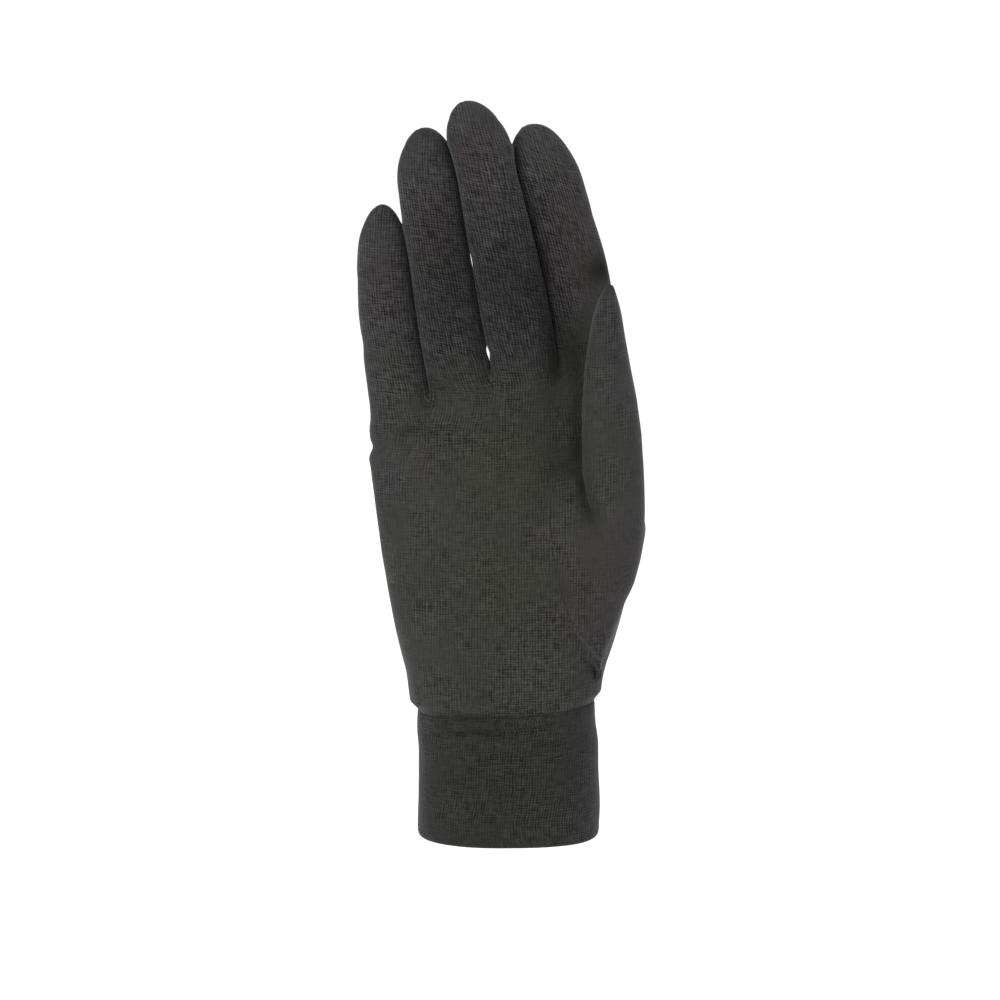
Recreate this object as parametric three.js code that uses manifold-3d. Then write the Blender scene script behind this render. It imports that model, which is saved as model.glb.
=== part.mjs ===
// A thin knitted glove liner for the right hand, in the form that a hand gives it.
// Millimetres, +Z up: the fingers point up, the palm faces -Y and the thumb lies in front of the palm at +X.
// The origin is the centre of the cuff's opening.

import * as THREE from 'three';
import { LoftGeometry } from 'three/addons/geometries/LoftGeometry.js';
import { mergeVertices } from 'three/addons/utils/BufferGeometryUtils.js';
import Module from 'manifold-3d';

const wasm = await Module();
wasm.setup();

// Driving dimensions

const knitWall = 1.1; // one layer of jersey
const cuffWall = 1.8; // two layers, folded at the hem
const seamGap = 0.3; // between the edges of two pieces sewn together

const cuffHeight = 42.5;
const cuffWidth = 57.2;
const cuffDepth = 39;

const palmHeight = 93; // from the cuff's seam to the palm's top
const palmWidth = 83;
const palmDepth = 28;

const fingerLength = 82; // the middle finger's, from its root to its tip
const fingerGap = 0.5; // between two fingers that lie side by side
const webReach = 6.5; // how far a finger's root spreads into its neighbour below the crotch
const webDepth = 12; // the drop over which it spreads
const rootFlare = 24; // the drop over which a finger thickens into the palm
const rootStart = 0.8; // the share of that drop at which its tube starts
const rootDepth = 0.475; // to this share of palmDepth, front and back
const rootTuck = 0.07; // how far the outer fingers' roots draw in for each millimetre below the palm's top
const curlDepth = 9; // how far the longest fingertip leans forward of the palm's middle
const curlHeight = 96; // the height over which it leans

const stripRoot = 10; // width of the strip between two fingers, at the crotch
const stripTip = 3; // and at its ends, near the fingertips
const stripStop = 6; // from its ends to the fingertips
const stripMargin = 0.35; // how far its region reaches past a finger's side

const thumbLength = 104.5; // from inside the heel of the palm to the tip
const thumbWidth = 18.6;
const thumbDepth = 18.6;
const thumbX = 31; // the thumb's middle line
const thumbY = -22;
const thumbTip = 174.5;
const thumbMargin = 0.1; // how far the thumb's region reaches past its tube
const thumbCore = 0.9; // the largest share of its half-width that the wall may take near the tip

const gussetWidth = 29; // the thumb piece's part on the palm, from its seam to the hand's edge
const gussetHeight = 59;
const gussetFoot = 59.5; // its lowest point
const gussetSwell = 21; // how far it stands out of the palm's middle

// The fingers, from the little one to the index finger. rise, the root's height over the palm's top, length and
// tipLength are shares of fingerLength, and depth of palmDepth. rootX and tipX place the middle line, bow bends it and
// apex moves the very tip: they and the widths are shares of palmWidth.
const fingerShares = [
  { name: 'little', rise: 0.006, length: 0.754, tipLength: 0.329, depth: 0.564,
    rootX: -0.405, tipX: -0.472, bow: -0.012, apex: 0.006, rootWidth: 0.229, tipWidth: 0.212 },
  { name: 'ring', rise: 0.067, length: 0.976, tipLength: 0.232, depth: 0.6,
    rootX: -0.176, tipX: -0.308, bow: -0.016, apex: 0.004, rootWidth: 0.239, tipWidth: 0.231 },
  { name: 'middle', rise: 0.14, length: 1.0, tipLength: 0.183, depth: 0.621,
    rootX: 0.063, tipX: -0.147, bow: 0.007, apex: 0.0, rootWidth: 0.248, tipWidth: 0.228 },
  { name: 'index', rise: 0.165, length: 0.89, tipLength: 0.22, depth: 0.621,
    rootX: 0.311, tipX: 0.075, bow: 0.024, apex: 0.024, rootWidth: 0.26, tipWidth: 0.248 },
];

// Heights of the crotches over the palm's top, from the little finger's to the index finger's, of fingerLength
const crotchRises = [0.006, 0.128, 0.152];

// Palm sections: rise is a share of palmHeight, left and right of half of palmWidth, front and back of palmDepth.
const palmSections = [
  { rise: 0.0, left: 0.735, right: 0.68, front: 0.7, back: 0.7 },
  { rise: 0.035, left: 0.76, right: 0.69, front: 0.725, back: 0.71 },
  { rise: 0.1, left: 0.77, right: 0.71, front: 0.73, back: 0.7 },
  { rise: 0.185, left: 0.82, right: 0.765, front: 0.71, back: 0.67 },
  { rise: 0.27, left: 0.86, right: 0.82, front: 0.675, back: 0.63 },
  { rise: 0.37, left: 0.9, right: 0.88, front: 0.62, back: 0.59 },
  { rise: 0.51, left: 0.955, right: 0.945, front: 0.55, back: 0.545 },
  { rise: 0.66, left: 0.995, right: 0.955, front: 0.5, back: 0.515 },
  { rise: 0.79, left: 1.03, right: 0.93, front: 0.475, back: 0.495 },
  { rise: 0.835, left: 1.045, right: 0.92, front: 0.465, back: 0.48 },
  { rise: 0.87, left: 1.012, right: 0.91, front: 0.445, back: 0.455 },
  { rise: 0.93, left: 1.0, right: 0.88, front: 0.38, back: 0.385 },
  { rise: 1.0, left: 0.93, right: 0.8, front: 0.24, back: 0.24 },
];

// Thumb sections: rise is a share of thumbLength from its lower end, left and right of half of thumbWidth from thumbX,
// front and back of half of thumbDepth from thumbY.
const thumbSections = [
  { rise: 0.0, left: 0.38, right: 0.3, front: -0.38, back: 1.5 },
  { rise: 0.096, left: 0.59, right: 0.62, front: -0.05, back: 1.72 },
  { rise: 0.19, left: 0.65, right: 0.9, front: 0.22, back: 1.72 },
  { rise: 0.287, left: 0.65, right: 1.09, front: 0.5, back: 1.5 },
  { rise: 0.35, left: 0.75, right: 1.09, front: 0.72, back: 1.12 },
  { rise: 0.402, left: 0.95, right: 1.07, front: 0.85, back: 0.98 },
  { rise: 0.48, left: 0.97, right: 1.02, front: 0.95, back: 0.95 },
  { rise: 0.575, left: 0.98, right: 0.93, front: 1.0, back: 0.93 },
  { rise: 0.67, left: 0.97, right: 0.78, front: 1.0, back: 0.93 },
  { rise: 0.766, left: 0.9, right: 0.57, front: 0.97, back: 0.9 },
  { rise: 0.842, left: 0.79, right: 0.41, front: 0.89, back: 0.85 },
  { rise: 0.91, left: 0.65, right: 0.28, front: 0.75, back: 0.75 },
  { rise: 0.957, left: 0.5, right: 0.18, front: 0.54, back: 0.57 },
  { rise: 0.989, left: 0.32, right: 0.06, front: 0.28, back: 0.3 },
  { rise: 1.0, left: 0.17, right: -0.02, front: 0.08, back: 0.1 },
];

// Sections of the gusset's swell over the palm: rise is a share of gussetHeight, left and right of gussetWidth from the
// hand's middle, front of gussetSwell.
const swellSections = [
  { rise: -0.06, left: 0.9, right: 1.05, front: 0.84 },
  { rise: 0.04, left: 0.76, right: 1.1, front: 0.93 },
  { rise: 0.18, left: 0.6, right: 1.15, front: 0.985 },
  { rise: 0.35, left: 0.5, right: 1.23, front: 1.0 },
  { rise: 0.52, left: 0.44, right: 1.33, front: 1.0 },
  { rise: 0.69, left: 0.415, right: 1.405, front: 0.955 },
  { rise: 0.82, left: 0.44, right: 1.385, front: 0.86 },
  { rise: 0.94, left: 0.55, right: 1.34, front: 0.72 },
  { rise: 1.04, left: 0.72, right: 1.22, front: 0.54 },
];

// The gusset's seam on the palm, from its top beside the thumb, down and across to the hand's edge: across is a share
// of gussetWidth from the hand's middle, rise of gussetHeight.
const gussetSeam = [
  { across: 0.77, rise: 1.0 },
  { across: 0.58, rise: 0.97 },
  { across: 0.45, rise: 0.88 },
  { across: 0.425, rise: 0.76 },
  { across: 0.46, rise: 0.55 },
  { across: 0.54, rise: 0.36 },
  { across: 0.66, rise: 0.16 },
  { across: 0.8, rise: 0.1 },
  { across: 0.98, rise: 0.03 },
  { across: 1.15, rise: 0.0 },
];

// Cuff sections, outside: rise is a share of cuffHeight, wide of cuffWidth and cuffDepth, shift of cuffWidth.
const cuffSections = [
  { rise: 0.0, wide: 0.982, shift: 0.0 },
  { rise: 0.025, wide: 1.0, shift: 0.0 },
  { rise: 0.2, wide: 1.003, shift: 0.0 },
  { rise: 0.45, wide: 0.99, shift: 0.0 },
  { rise: 0.7, wide: 0.986, shift: -0.006 },
  { rise: 0.82, wide: 0.978, shift: -0.015 },
  { rise: 0.9, wide: 0.996, shift: -0.019 },
  { rise: 0.97, wide: 0.985, shift: -0.02 },
  { rise: 1.0, wide: 0.965, shift: -0.02 },
];

const palmSquareness = 2.4; // 2 is an ellipse, more is squarer
const digitSquareness = 2.15;
const palmSides = 30;
const digitSides = 12;
const swellSides = 16;
const shaftSteps = 7; // sections of a finger below its rounded tip
const tipAngles = [0, 25, 45, 62, 77, 86]; // and up to its end, as degrees round the tip
const stripSteps = 8;
const curlSteps = 7;
const beyond = 60; // reaches past the part on every side
const overcut = 1; // how far a hollow is cut past the edge that it leaves open
const weldDistance = 1e-4;

// Lofts, prisms and solids

function solidOf(geometry) {
  const bare = new THREE.BufferGeometry();
  bare.setAttribute('position', geometry.getAttribute('position'));
  bare.setIndex(geometry.getIndex());
  const merged = mergeVertices(bare, weldDistance);
  const mesh = new wasm.Mesh({
    numProp: 3,
    vertProperties: new Float32Array(merged.attributes.position.array),
    triVerts: new Uint32Array(merged.index.array),
  });
  return new wasm.Manifold(mesh);
}

function ring({ left, right, front, back, middle, z }, sides, squareness) {
  const centreX = (left + right) / 2;
  const halfWidth = (right - left) / 2;
  const power = 2 / squareness;
  return Array.from({ length: sides }, (_, i) => {
    const angle = (i / sides) * 2 * Math.PI;
    const across = Math.cos(angle);
    const deep = Math.sin(angle);
    const reach = deep < 0 ? middle - front : back - middle;
    return new THREE.Vector3(
      centreX + halfWidth * Math.sign(across) * Math.abs(across) ** power,
      middle + reach * Math.sign(deep) * Math.abs(deep) ** power,
      z,
    );
  });
}

function loft(sections, sides, squareness) {
  const rings = sections.map((section) => ring(section, sides, squareness));
  return solidOf(new LoftGeometry(rings, { capStart: true, capEnd: true }));
}

// A prism over an outline of x and z, from one y to another
function prismAlongY(outline, fromY, toY) {
  const geometry = new THREE.ExtrudeGeometry(new THREE.Shape(outline), { depth: toY - fromY, bevelEnabled: false });
  geometry.rotateX(Math.PI / 2);
  geometry.translate(0, toY, 0);
  return solidOf(geometry);
}

// A prism over an outline of y and z, right across the part
function prismAlongX(outline) {
  const geometry = new THREE.ExtrudeGeometry(new THREE.Shape(outline), { depth: 2 * beyond, bevelEnabled: false });
  const turn = new THREE.Matrix4().makeBasis(
    new THREE.Vector3(0, 1, 0),
    new THREE.Vector3(0, 0, 1),
    new THREE.Vector3(1, 0, 0),
  );
  geometry.applyMatrix4(turn);
  geometry.translate(-beyond, 0, 0);
  return solidOf(geometry);
}

const lerp = THREE.MathUtils.lerp;
const smooth = THREE.MathUtils.smoothstep;

// The hand's form, at an inset from its outside

const palmTop = cuffHeight + palmHeight;
const handFoot = cuffHeight + seamGap / 2;
const crotches = crotchRises.map((rise) => palmTop + rise * fingerLength);

const fingers = fingerShares.map(({ name, rise, length, tipLength, depth, ...across }) => ({
  name,
  rise: rise * fingerLength,
  length: length * fingerLength,
  tipLength: tipLength * fingerLength,
  depth: depth * palmDepth,
  ...Object.fromEntries(Object.entries(across).map(([key, share]) => [key, share * palmWidth])),
}));

function middleY(z) {
  const lean = Math.max(0, (z - palmTop) / curlHeight);
  return -curlDepth * lean * lean;
}

function palm(inset) {
  const sections = palmSections.map(({ rise, left, right, front, back }) => ({
    left: (-left * palmWidth) / 2 + inset,
    right: (right * palmWidth) / 2 - inset,
    front: -front * palmDepth + inset,
    back: back * palmDepth - inset,
    middle: 0,
    z: rise === 0 ? handFoot - inset : cuffHeight + rise * palmHeight - inset * rise,
  }));
  return loft(sections, palmSides, palmSquareness);
}

// How the palm's depth falls away from its middle to its edges, as a share
function palmFall(x) {
  return (1 - Math.abs((2 * x) / palmWidth) ** palmSquareness) ** (1 / palmSquareness);
}

const rootOf = (finger) => palmTop + finger.rise;
const tipOf = (finger) => rootOf(finger) + finger.length;

function axisX(finger, z) {
  const along = Math.max(0, (z - rootOf(finger)) / finger.length);
  const bend = 4 * along * (1 - along);
  return lerp(finger.rootX, finger.tipX, along) + finger.bow * bend;
}

function halfWidth(finger, z) {
  const taper = (z - rootOf(finger)) / (finger.length - finger.tipLength);
  return lerp(finger.rootWidth, finger.tipWidth, THREE.MathUtils.clamp(taper, 0, 1)) / 2;
}

// How far a finger's rounded tip has closed in at a height: 1 is not at all, 0 is its very end
function tipRound(finger, z, inset) {
  const upTip = Math.max(0, 1 - (tipOf(finger) - inset - z) / finger.tipLength);
  return Math.sqrt(Math.max(0, 1 - upTip * upTip));
}

// Where one side of a finger runs: on its own edge, or half a gap short of the line midway to its neighbour.
// Below the crotch it spreads past that line, so that the two roots join.
function edgeX(index, side, z, inset) {
  const finger = fingers[index];
  const own = axisX(finger, z) + side * halfWidth(finger, z);
  const neighbour = fingers[index + side];
  if (!neighbour) return own - side * (inset + rootTuck * Math.max(0, palmTop - z));
  const theirs = axisX(neighbour, z) - side * halfWidth(neighbour, z) * tipRound(neighbour, z, 0);
  const limit = (own + theirs) / 2 - (side * fingerGap) / 2;
  const crotch = crotches[Math.min(index, index + side)] - inset;
  const spread = webReach * smooth(crotch - z, 0, webDepth);
  const edge = side > 0 ? Math.min(own, limit) : Math.max(own, limit);
  return edge + side * (spread - inset);
}

function fingerSection(index, z, inset) {
  const finger = fingers[index];
  const round = tipRound(finger, z, inset);
  const centre = axisX(finger, z) + finger.apex * (1 - round * round);
  const flare = smooth(rootOf(finger) - z, 0, rootFlare);
  const half = lerp(finger.depth / 2, rootDepth * palmDepth * palmFall(finger.rootX), flare);
  const middle = middleY(z);
  return {
    left: lerp(centre, edgeX(index, -1, z, inset), round),
    right: lerp(centre, edgeX(index, 1, z, inset), round),
    front: middle - (half - inset) * round,
    back: middle + (half - inset) * round,
    middle,
    z,
  };
}

// Heights of a finger's sections: even ones up to the rounded tip, then ones that close in on the tip
function fingerLevels(finger, inset) {
  const tip = tipOf(finger) - inset;
  const shoulder = tip - finger.tipLength;
  const foot = palmTop - rootFlare * rootStart;
  const even = Array.from({ length: shaftSteps }, (_, i) => lerp(foot, shoulder, i / shaftSteps));
  const closing = tipAngles.map((degrees) => {
    const upTip = Math.sin(THREE.MathUtils.degToRad(degrees));
    return shoulder + finger.tipLength * upTip;
  });
  return [...even, ...closing];
}

function fingerTube(index, inset) {
  const sections = fingerLevels(fingers[index], inset).map((z) => fingerSection(index, z, inset));
  return loft(sections, digitSides, digitSquareness);
}

function thumbTube(inset) {
  const sections = thumbSections.map(({ rise, left, right, front, back }) => {
    const narrow = Math.min(inset, (thumbCore * (left + right) * thumbWidth) / 4);
    return {
      left: thumbX - (left * thumbWidth) / 2 + narrow,
      right: thumbX + (right * thumbWidth) / 2 - narrow,
      front: thumbY - (front * thumbDepth) / 2 + narrow,
      back: thumbY + (back * thumbDepth) / 2 - narrow,
      middle: thumbY + ((back - front) * thumbDepth) / 4,
      z: thumbTip - thumbLength * (1 - rise) - inset * rise,
    };
  });
  return loft(sections, digitSides, digitSquareness);
}

function gussetSwelling(inset) {
  const sections = swellSections.map(({ rise, left, right, front }) => ({
    left: left * gussetWidth + inset,
    right: right * gussetWidth - inset,
    front: -front * gussetSwell + inset,
    back: -inset,
    middle: (-front * gussetSwell) / 2,
    z: gussetFoot + rise * gussetHeight - inset * rise,
  }));
  return loft(sections, swellSides, digitSquareness);
}

function handForm(inset) {
  const tubes = fingers.map((_, index) => fingerTube(index, inset));
  return [...tubes, gussetSwelling(inset), thumbTube(inset)].reduce((form, part) => form.add(part), palm(inset));
}

function handShell() {
  const foot = loft(
    [handFoot - overcut - knitWall, handFoot + overcut].map((z) => {
      const { left, right, front, back } = palmSections[0];
      return {
        left: (-left * palmWidth) / 2 + knitWall,
        right: (right * palmWidth) / 2 - knitWall,
        front: -front * palmDepth + knitWall,
        back: back * palmDepth - knitWall,
        middle: 0,
        z,
      };
    }),
    palmSides,
    palmSquareness,
  );
  return handForm(0).subtract(handForm(knitWall).add(foot));
}

// The cutting lines between the pieces

// In front of the hand's middle surface, or of one moved back by a distance
function frontOf(distance) {
  const curled = Array.from({ length: curlSteps + 1 }, (_, i) => palmTop + (curlHeight * (i + 1)) / curlSteps);
  const levels = [-beyond, palmTop, ...curled];
  const surface = levels.map((z) => new THREE.Vector2(middleY(z) + distance, z));
  const far = [new THREE.Vector2(-2 * beyond, levels.at(-1)), new THREE.Vector2(-2 * beyond, -beyond)];
  return prismAlongX([...surface, ...far]);
}

// The thumb piece's share of the shell: all of the thumb's tube, and the gusset's field on the palm's front
function thumbRegion(growth) {
  const seam = gussetSeam.map(
    ({ across, rise }) => new THREE.Vector2(across * gussetWidth, gussetFoot + rise * gussetHeight),
  );
  const centre = new THREE.Vector2(gussetWidth, gussetFoot + gussetHeight / 2);
  const grown = seam.map((point) => point.clone().add(point.clone().sub(centre).setLength(growth)));
  const edge = [
    new THREE.Vector2(2 * beyond, gussetFoot - growth),
    new THREE.Vector2(2 * beyond, gussetFoot + gussetHeight + growth),
  ];
  const field = prismAlongY([...grown, ...edge], -2 * beyond, growth - seamGap / 2);
  return field.add(thumbTube(-thumbMargin - growth));
}

// Just past one finger's side, and past the line midway to its neighbour. Below the crotch it keeps the crotch's place.
function pastEdgeX(index, side, z) {
  const level = Math.max(z, crotches[Math.min(index, index + side)]);
  const own = edgeX(index, side, level, 0);
  const midway = (own + edgeX(index + side, -side, level, 0)) / 2;
  return side * (Math.max(side * own, side * midway) + stripMargin);
}

// The strip's share of one finger's side
function stripSide(index, side, growth) {
  const finger = fingers[index];
  const crotch = crotches[Math.min(index, index + side)];
  const from = crotch - webDepth;
  const to = tipOf(finger) - stripStop;
  const rings = Array.from({ length: stripSteps + 1 }, (_, i) => {
    const z = lerp(from, to, i / stripSteps) + (i === stripSteps ? growth : 0);
    const middle = middleY(z);
    const half = lerp(stripRoot, stripTip, Math.max(0, (z - crotch) / (to - crotch))) / 2 + growth;
    const inner = axisX(finger, z) - side * growth;
    const outer = pastEdgeX(index, side, z);
    const [low, high] = side > 0 ? [inner, outer] : [outer, inner];
    return [
      new THREE.Vector3(high, middle - half, z),
      new THREE.Vector3(high, middle + half, z),
      new THREE.Vector3(low, middle + half, z),
      new THREE.Vector3(low, middle - half, z),
    ];
  });
  return solidOf(new LoftGeometry(rings, { capStart: true, capEnd: true }));
}

const stripRegion = (index, growth) => stripSide(index, 1, growth).add(stripSide(index + 1, -1, growth));

// Pieces

function cuff() {
  const sectionsAt = (inset) =>
    cuffSections.map(({ rise, wide, shift }, i) => {
      const end = (i === cuffSections.length - 1) - (i === 0);
      return {
        left: shift * cuffWidth - (wide * cuffWidth) / 2 + inset,
        right: shift * cuffWidth + (wide * cuffWidth) / 2 - inset,
        front: (-wide * cuffDepth) / 2 + inset,
        back: (wide * cuffDepth) / 2 - inset,
        middle: 0,
        z: rise * (cuffHeight - seamGap / 2) + (inset > 0 ? end * overcut : 0),
      };
    });
  return loft(sectionsAt(0), palmSides, palmSquareness).subtract(
    loft(sectionsAt(cuffWall), palmSides, palmSquareness),
  );
}

const shell = handShell();
const thumb = shell.intersect(thumbRegion(0));
const strips = crotches.map((_, index) => shell.intersect(stripRegion(index, 0)));
const panels = crotches.reduce(
  (rest, _, index) => rest.subtract(stripRegion(index, seamGap)),
  shell.subtract(thumbRegion(seamGap)),
);
const palmPanel = panels.intersect(frontOf(-seamGap / 2));
const backPanel = panels.subtract(frontOf(seamGap / 2));

// Meshes and materials

function knit(colour, roughness) {
  return new THREE.MeshStandardMaterial({ color: new THREE.Color(colour), roughness, metalness: 0 });
}

function meshOf(name, solid, material) {
  const { vertProperties, triVerts } = solid.getMesh();
  const geometry = new THREE.BufferGeometry();
  geometry.setAttribute('position', new THREE.Float32BufferAttribute(vertProperties, 3));
  geometry.setIndex(new THREE.Uint32BufferAttribute(triVerts, 1));
  geometry.computeVertexNormals();
  const mesh = new THREE.Mesh(geometry, material);
  mesh.name = name;
  return mesh;
}

const jersey = knit(0x3a3b36, 0.95);
const rib = knit(0x31312d, 0.95);

const glove = new THREE.Group();
glove.name = 'glove_liner';
glove.add(
  meshOf('palm_panel', palmPanel, jersey),
  meshOf('back_panel', backPanel, jersey),
  meshOf('thumb', thumb, jersey),
  ...strips.map((strip, index) => meshOf(`fourchette_${fingers[index].name}_${fingers[index + 1].name}`, strip, jersey)),
  meshOf('cuff', cuff(), rib),
);

export default glove;
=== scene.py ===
# The looks of a thin knitted glove liner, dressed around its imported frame.
# Shapes are worked out in millimetres in the frame's own axes, and written to the meshes in metres.

import math

import bpy
import numpy as np
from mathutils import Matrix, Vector


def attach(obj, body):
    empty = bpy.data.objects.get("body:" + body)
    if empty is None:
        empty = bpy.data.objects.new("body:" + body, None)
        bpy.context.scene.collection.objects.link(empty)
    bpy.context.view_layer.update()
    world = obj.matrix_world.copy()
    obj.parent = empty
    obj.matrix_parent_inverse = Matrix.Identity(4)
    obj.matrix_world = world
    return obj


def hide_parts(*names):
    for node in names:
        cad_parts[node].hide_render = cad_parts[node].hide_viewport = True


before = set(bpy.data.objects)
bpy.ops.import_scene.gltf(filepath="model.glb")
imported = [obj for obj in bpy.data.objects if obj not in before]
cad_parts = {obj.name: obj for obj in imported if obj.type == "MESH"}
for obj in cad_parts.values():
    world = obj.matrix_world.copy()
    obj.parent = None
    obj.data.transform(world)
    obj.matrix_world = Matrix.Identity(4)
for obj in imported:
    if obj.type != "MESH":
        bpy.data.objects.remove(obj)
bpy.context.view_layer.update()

MM = 0.001

# Driving dimensions, as in the part's source

CUFF_HEIGHT = 42.5
CUFF_WIDTH = 57.2
CUFF_DEPTH = 39.0
CUFF_WALL = 1.8
PALM_HEIGHT = 93.0
PALM_WIDTH = 83.0
PALM_DEPTH = 28.0
PALM_TOP = CUFF_HEIGHT + PALM_HEIGHT
WEB_REACH = 6.5
WEB_DEPTH = 12.0
ROOT_FLARE = 24.0
ROOT_DEPTH = 0.475
ROOT_TUCK = 0.07
CURL_DEPTH = 9.0
CURL_HEIGHT = 96.0
STRIP_ROOT = 10.0
STRIP_TIP = 3.0
STRIP_STOP = 6.0
THUMB_LENGTH = 104.5
THUMB_WIDTH = 18.6
THUMB_DEPTH = 18.6
THUMB_X = 31.0
THUMB_Y = -22.0
THUMB_TIP = 174.5
GUSSET_WIDTH = 29.0
GUSSET_HEIGHT = 59.0
GUSSET_FOOT = 59.5
GUSSET_SWELL = 21.0
PALM_SQUARENESS = 2.4
DIGIT_SQUARENESS = 2.15

# Sizes of the dressed surface

CLOTH = 0.9  # thickness of one layer of knit
NET_STEP = 0.7  # spacing of the surface's points
SEAM_SLIT = 0.12  # between two dressed pieces at their seam
WALE = 0.83  # width of one column of stitches
COURSE = 0.78  # height of one row of stitches
ARC_DEPTH = 0.6  # the share of a section's depth that the columns count when they run round it
LEAN = 1.6  # how far a finger widens to meet its neighbour
PRESSED = 0.05  # the gap left where two fingers touch
OVERHANG = 0.13  # how far the middle finger's sides reach over its neighbours, for each millimetre forward
STAGGER = np.array([1.3, 0.3, -1.2, 2.2])  # how far each finger stands behind the hand's middle surface
SPREAD = 2.6  # how far the fingers are held apart while their surface is made
ROOT_BLEND = 5.0  # how softly the fingers leave the palm
WEB_BLEND = 3.0  # and each other, below the crotch
GUSSET_BLEND = 4.0
THUMB_BLEND = 1.6
CUFF_MEET = 3.6  # over which height the hand narrows to the band
CROOK_BLEND = 4.5  # how much more softly the thumb leaves its gusset
FOOT_SINK = 4.0  # how deep the gusset's and the thumb's feet are sunk
FOOT_FADE = 14.0  # over which height a finger's or the thumb's foot comes out of the palm
FINGER_FOOT = PALM_TOP - 0.8 * ROOT_FLARE
THUMB_FOOT = THUMB_TIP - THUMB_LENGTH
THUMB_PARTING = 104.0  # the height from which the thumb's piece goes all round
PALM_CROWN = 4.0  # how far the palm's own form reaches above its top, under the fingers
PALM_ROUNDING = 12.0  # over which height that form closes
SEAM_DROP = 0.6  # how far below the cuff's height its seam lies
SEAM_TILT = 0.055  # how much that seam rises for each millimetre towards the thumb
GATHER_PITCH = 2.3  # how closely the gathers at that seam stand, in radians for each millimetre
SPACE_LOW = np.array([-52.0, -36.0, CUFF_HEIGHT - 3])  # corners of the space that holds the hand's surface
SPACE_HIGH = np.array([52.0, 24.0, 233.0])


def table(columns, rows):
    """A table of sections with named columns."""
    return dict(zip(columns.split(), np.array(rows, float).T))


FINGERS = table(
    "rise length rootX tipX bow apex rootWidth tipWidth depth tipLength",
    [
        (0.5, 61.8, -33.6, -39.2, -1.0, 0.5, 19.0, 17.6, 15.8, 27),
        (5.5, 80.0, -14.6, -25.6, -1.3, 0.3, 19.8, 19.2, 16.8, 19),
        (11.5, 82.0, 5.2, -12.2, 0.6, 0.0, 20.6, 18.9, 17.4, 15),
        (13.5, 73.0, 25.8, 6.2, 2.0, 2.0, 21.6, 20.6, 17.4, 18),
    ],
)
CROTCHES = PALM_TOP + np.array([0.5, 10.5, 12.5])
COUNT = len(FINGERS["rise"])

PALM = table(
    "rise left right front back",
    [
        (0.0, 0.745, 0.69, 0.71, 0.7),
        (0.035, 0.76, 0.69, 0.725, 0.71),
        (0.1, 0.77, 0.71, 0.73, 0.7),
        (0.185, 0.82, 0.765, 0.71, 0.67),
        (0.27, 0.86, 0.82, 0.675, 0.63),
        (0.37, 0.9, 0.88, 0.62, 0.59),
        (0.51, 0.955, 0.945, 0.55, 0.545),
        (0.66, 0.995, 0.955, 0.5, 0.515),
        (0.79, 1.03, 0.93, 0.475, 0.495),
        (0.835, 1.045, 0.92, 0.465, 0.48),
        (0.87, 1.012, 0.91, 0.45, 0.46),
        (0.93, 1.0, 0.88, 0.4, 0.405),
        (1.0, 0.93, 0.8, 0.3, 0.3),
    ],
)

THUMB = table(
    "rise left right front back",
    [
        (0.0, 0.38, 0.3, -0.38, 1.5),
        (0.096, 0.59, 0.62, -0.05, 1.72),
        (0.19, 0.65, 0.9, 0.22, 1.72),
        (0.287, 0.65, 1.09, 0.5, 1.5),
        (0.35, 0.75, 1.09, 0.72, 1.12),
        (0.402, 0.95, 1.07, 0.85, 0.98),
        (0.48, 0.97, 1.02, 0.95, 0.95),
        (0.575, 0.98, 0.93, 1.0, 0.93),
        (0.67, 0.97, 0.78, 1.0, 0.93),
        (0.766, 0.9, 0.57, 0.97, 0.9),
        (0.842, 0.79, 0.41, 0.89, 0.85),
        (0.91, 0.65, 0.28, 0.75, 0.75),
        (0.957, 0.5, 0.18, 0.54, 0.57),
        (0.989, 0.32, 0.06, 0.28, 0.3),
        (1.0, 0.17, -0.02, 0.08, 0.1),
    ],
)

SWELL = table(
    "rise left right front",
    [
        (-0.3, 0.9, 0.98, 0.66),
        (-0.15, 0.89, 1.01, 0.74),
        (-0.06, 0.88, 1.035, 0.81),
        (0.04, 0.76, 1.1, 0.93),
        (0.18, 0.6, 1.15, 0.985),
        (0.35, 0.5, 1.23, 1.0),
        (0.52, 0.44, 1.33, 1.0),
        (0.69, 0.415, 1.405, 0.955),
        (0.82, 0.44, 1.385, 0.86),
        (0.94, 0.55, 1.34, 0.72),
        (1.04, 0.72, 1.22, 0.54),
        (1.12, 0.8, 1.15, 0.36),
    ],
)

GUSSET_SEAM = table(
    "across rise",
    [
        (1.3, 1.0),
        (1.0, 1.02),
        (0.77, 1.0),
        (0.58, 0.97),
        (0.45, 0.88),
        (0.425, 0.76),
        (0.46, 0.55),
        (0.54, 0.36),
        (0.66, 0.19),
        (0.8, 0.115),
        (0.96, 0.025),
        (1.07, -0.02),
        (1.2, -0.055),
        (1.4, -0.09),
    ],
)

CUFF = table(
    "rise wide shift",
    [
        (0.0, 0.982, 0.0),
        (0.025, 1.0, 0.0),
        (0.2, 1.003, 0.0),
        (0.45, 0.99, 0.0),
        (0.7, 0.986, -0.006),
        (0.82, 0.978, -0.015),
        (0.9, 0.976, -0.016),
        (0.97, 0.973, -0.016),
        (1.0, 0.967, -0.016),
    ],
)

# Small helpers


def lerp(start, end, share):
    return start + (end - start) * share


def smooth(value, low, high):
    share = np.clip((value - low) / (high - low), 0, 1)
    return share * share * (3 - 2 * share)


def bump(value, middle, reach):
    """A soft bump of height 1 around a middle value."""
    return np.exp(-(((value - middle) / reach) ** 2))


def soft_min(a, b, reach):
    """The union of two fields, rounded over a reach."""
    reach = np.maximum(reach, 1e-3)
    share = np.clip(0.5 + 0.5 * (b - a) / reach, 0, 1)
    return lerp(b, a, share) - reach * share * (1 - share)


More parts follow.
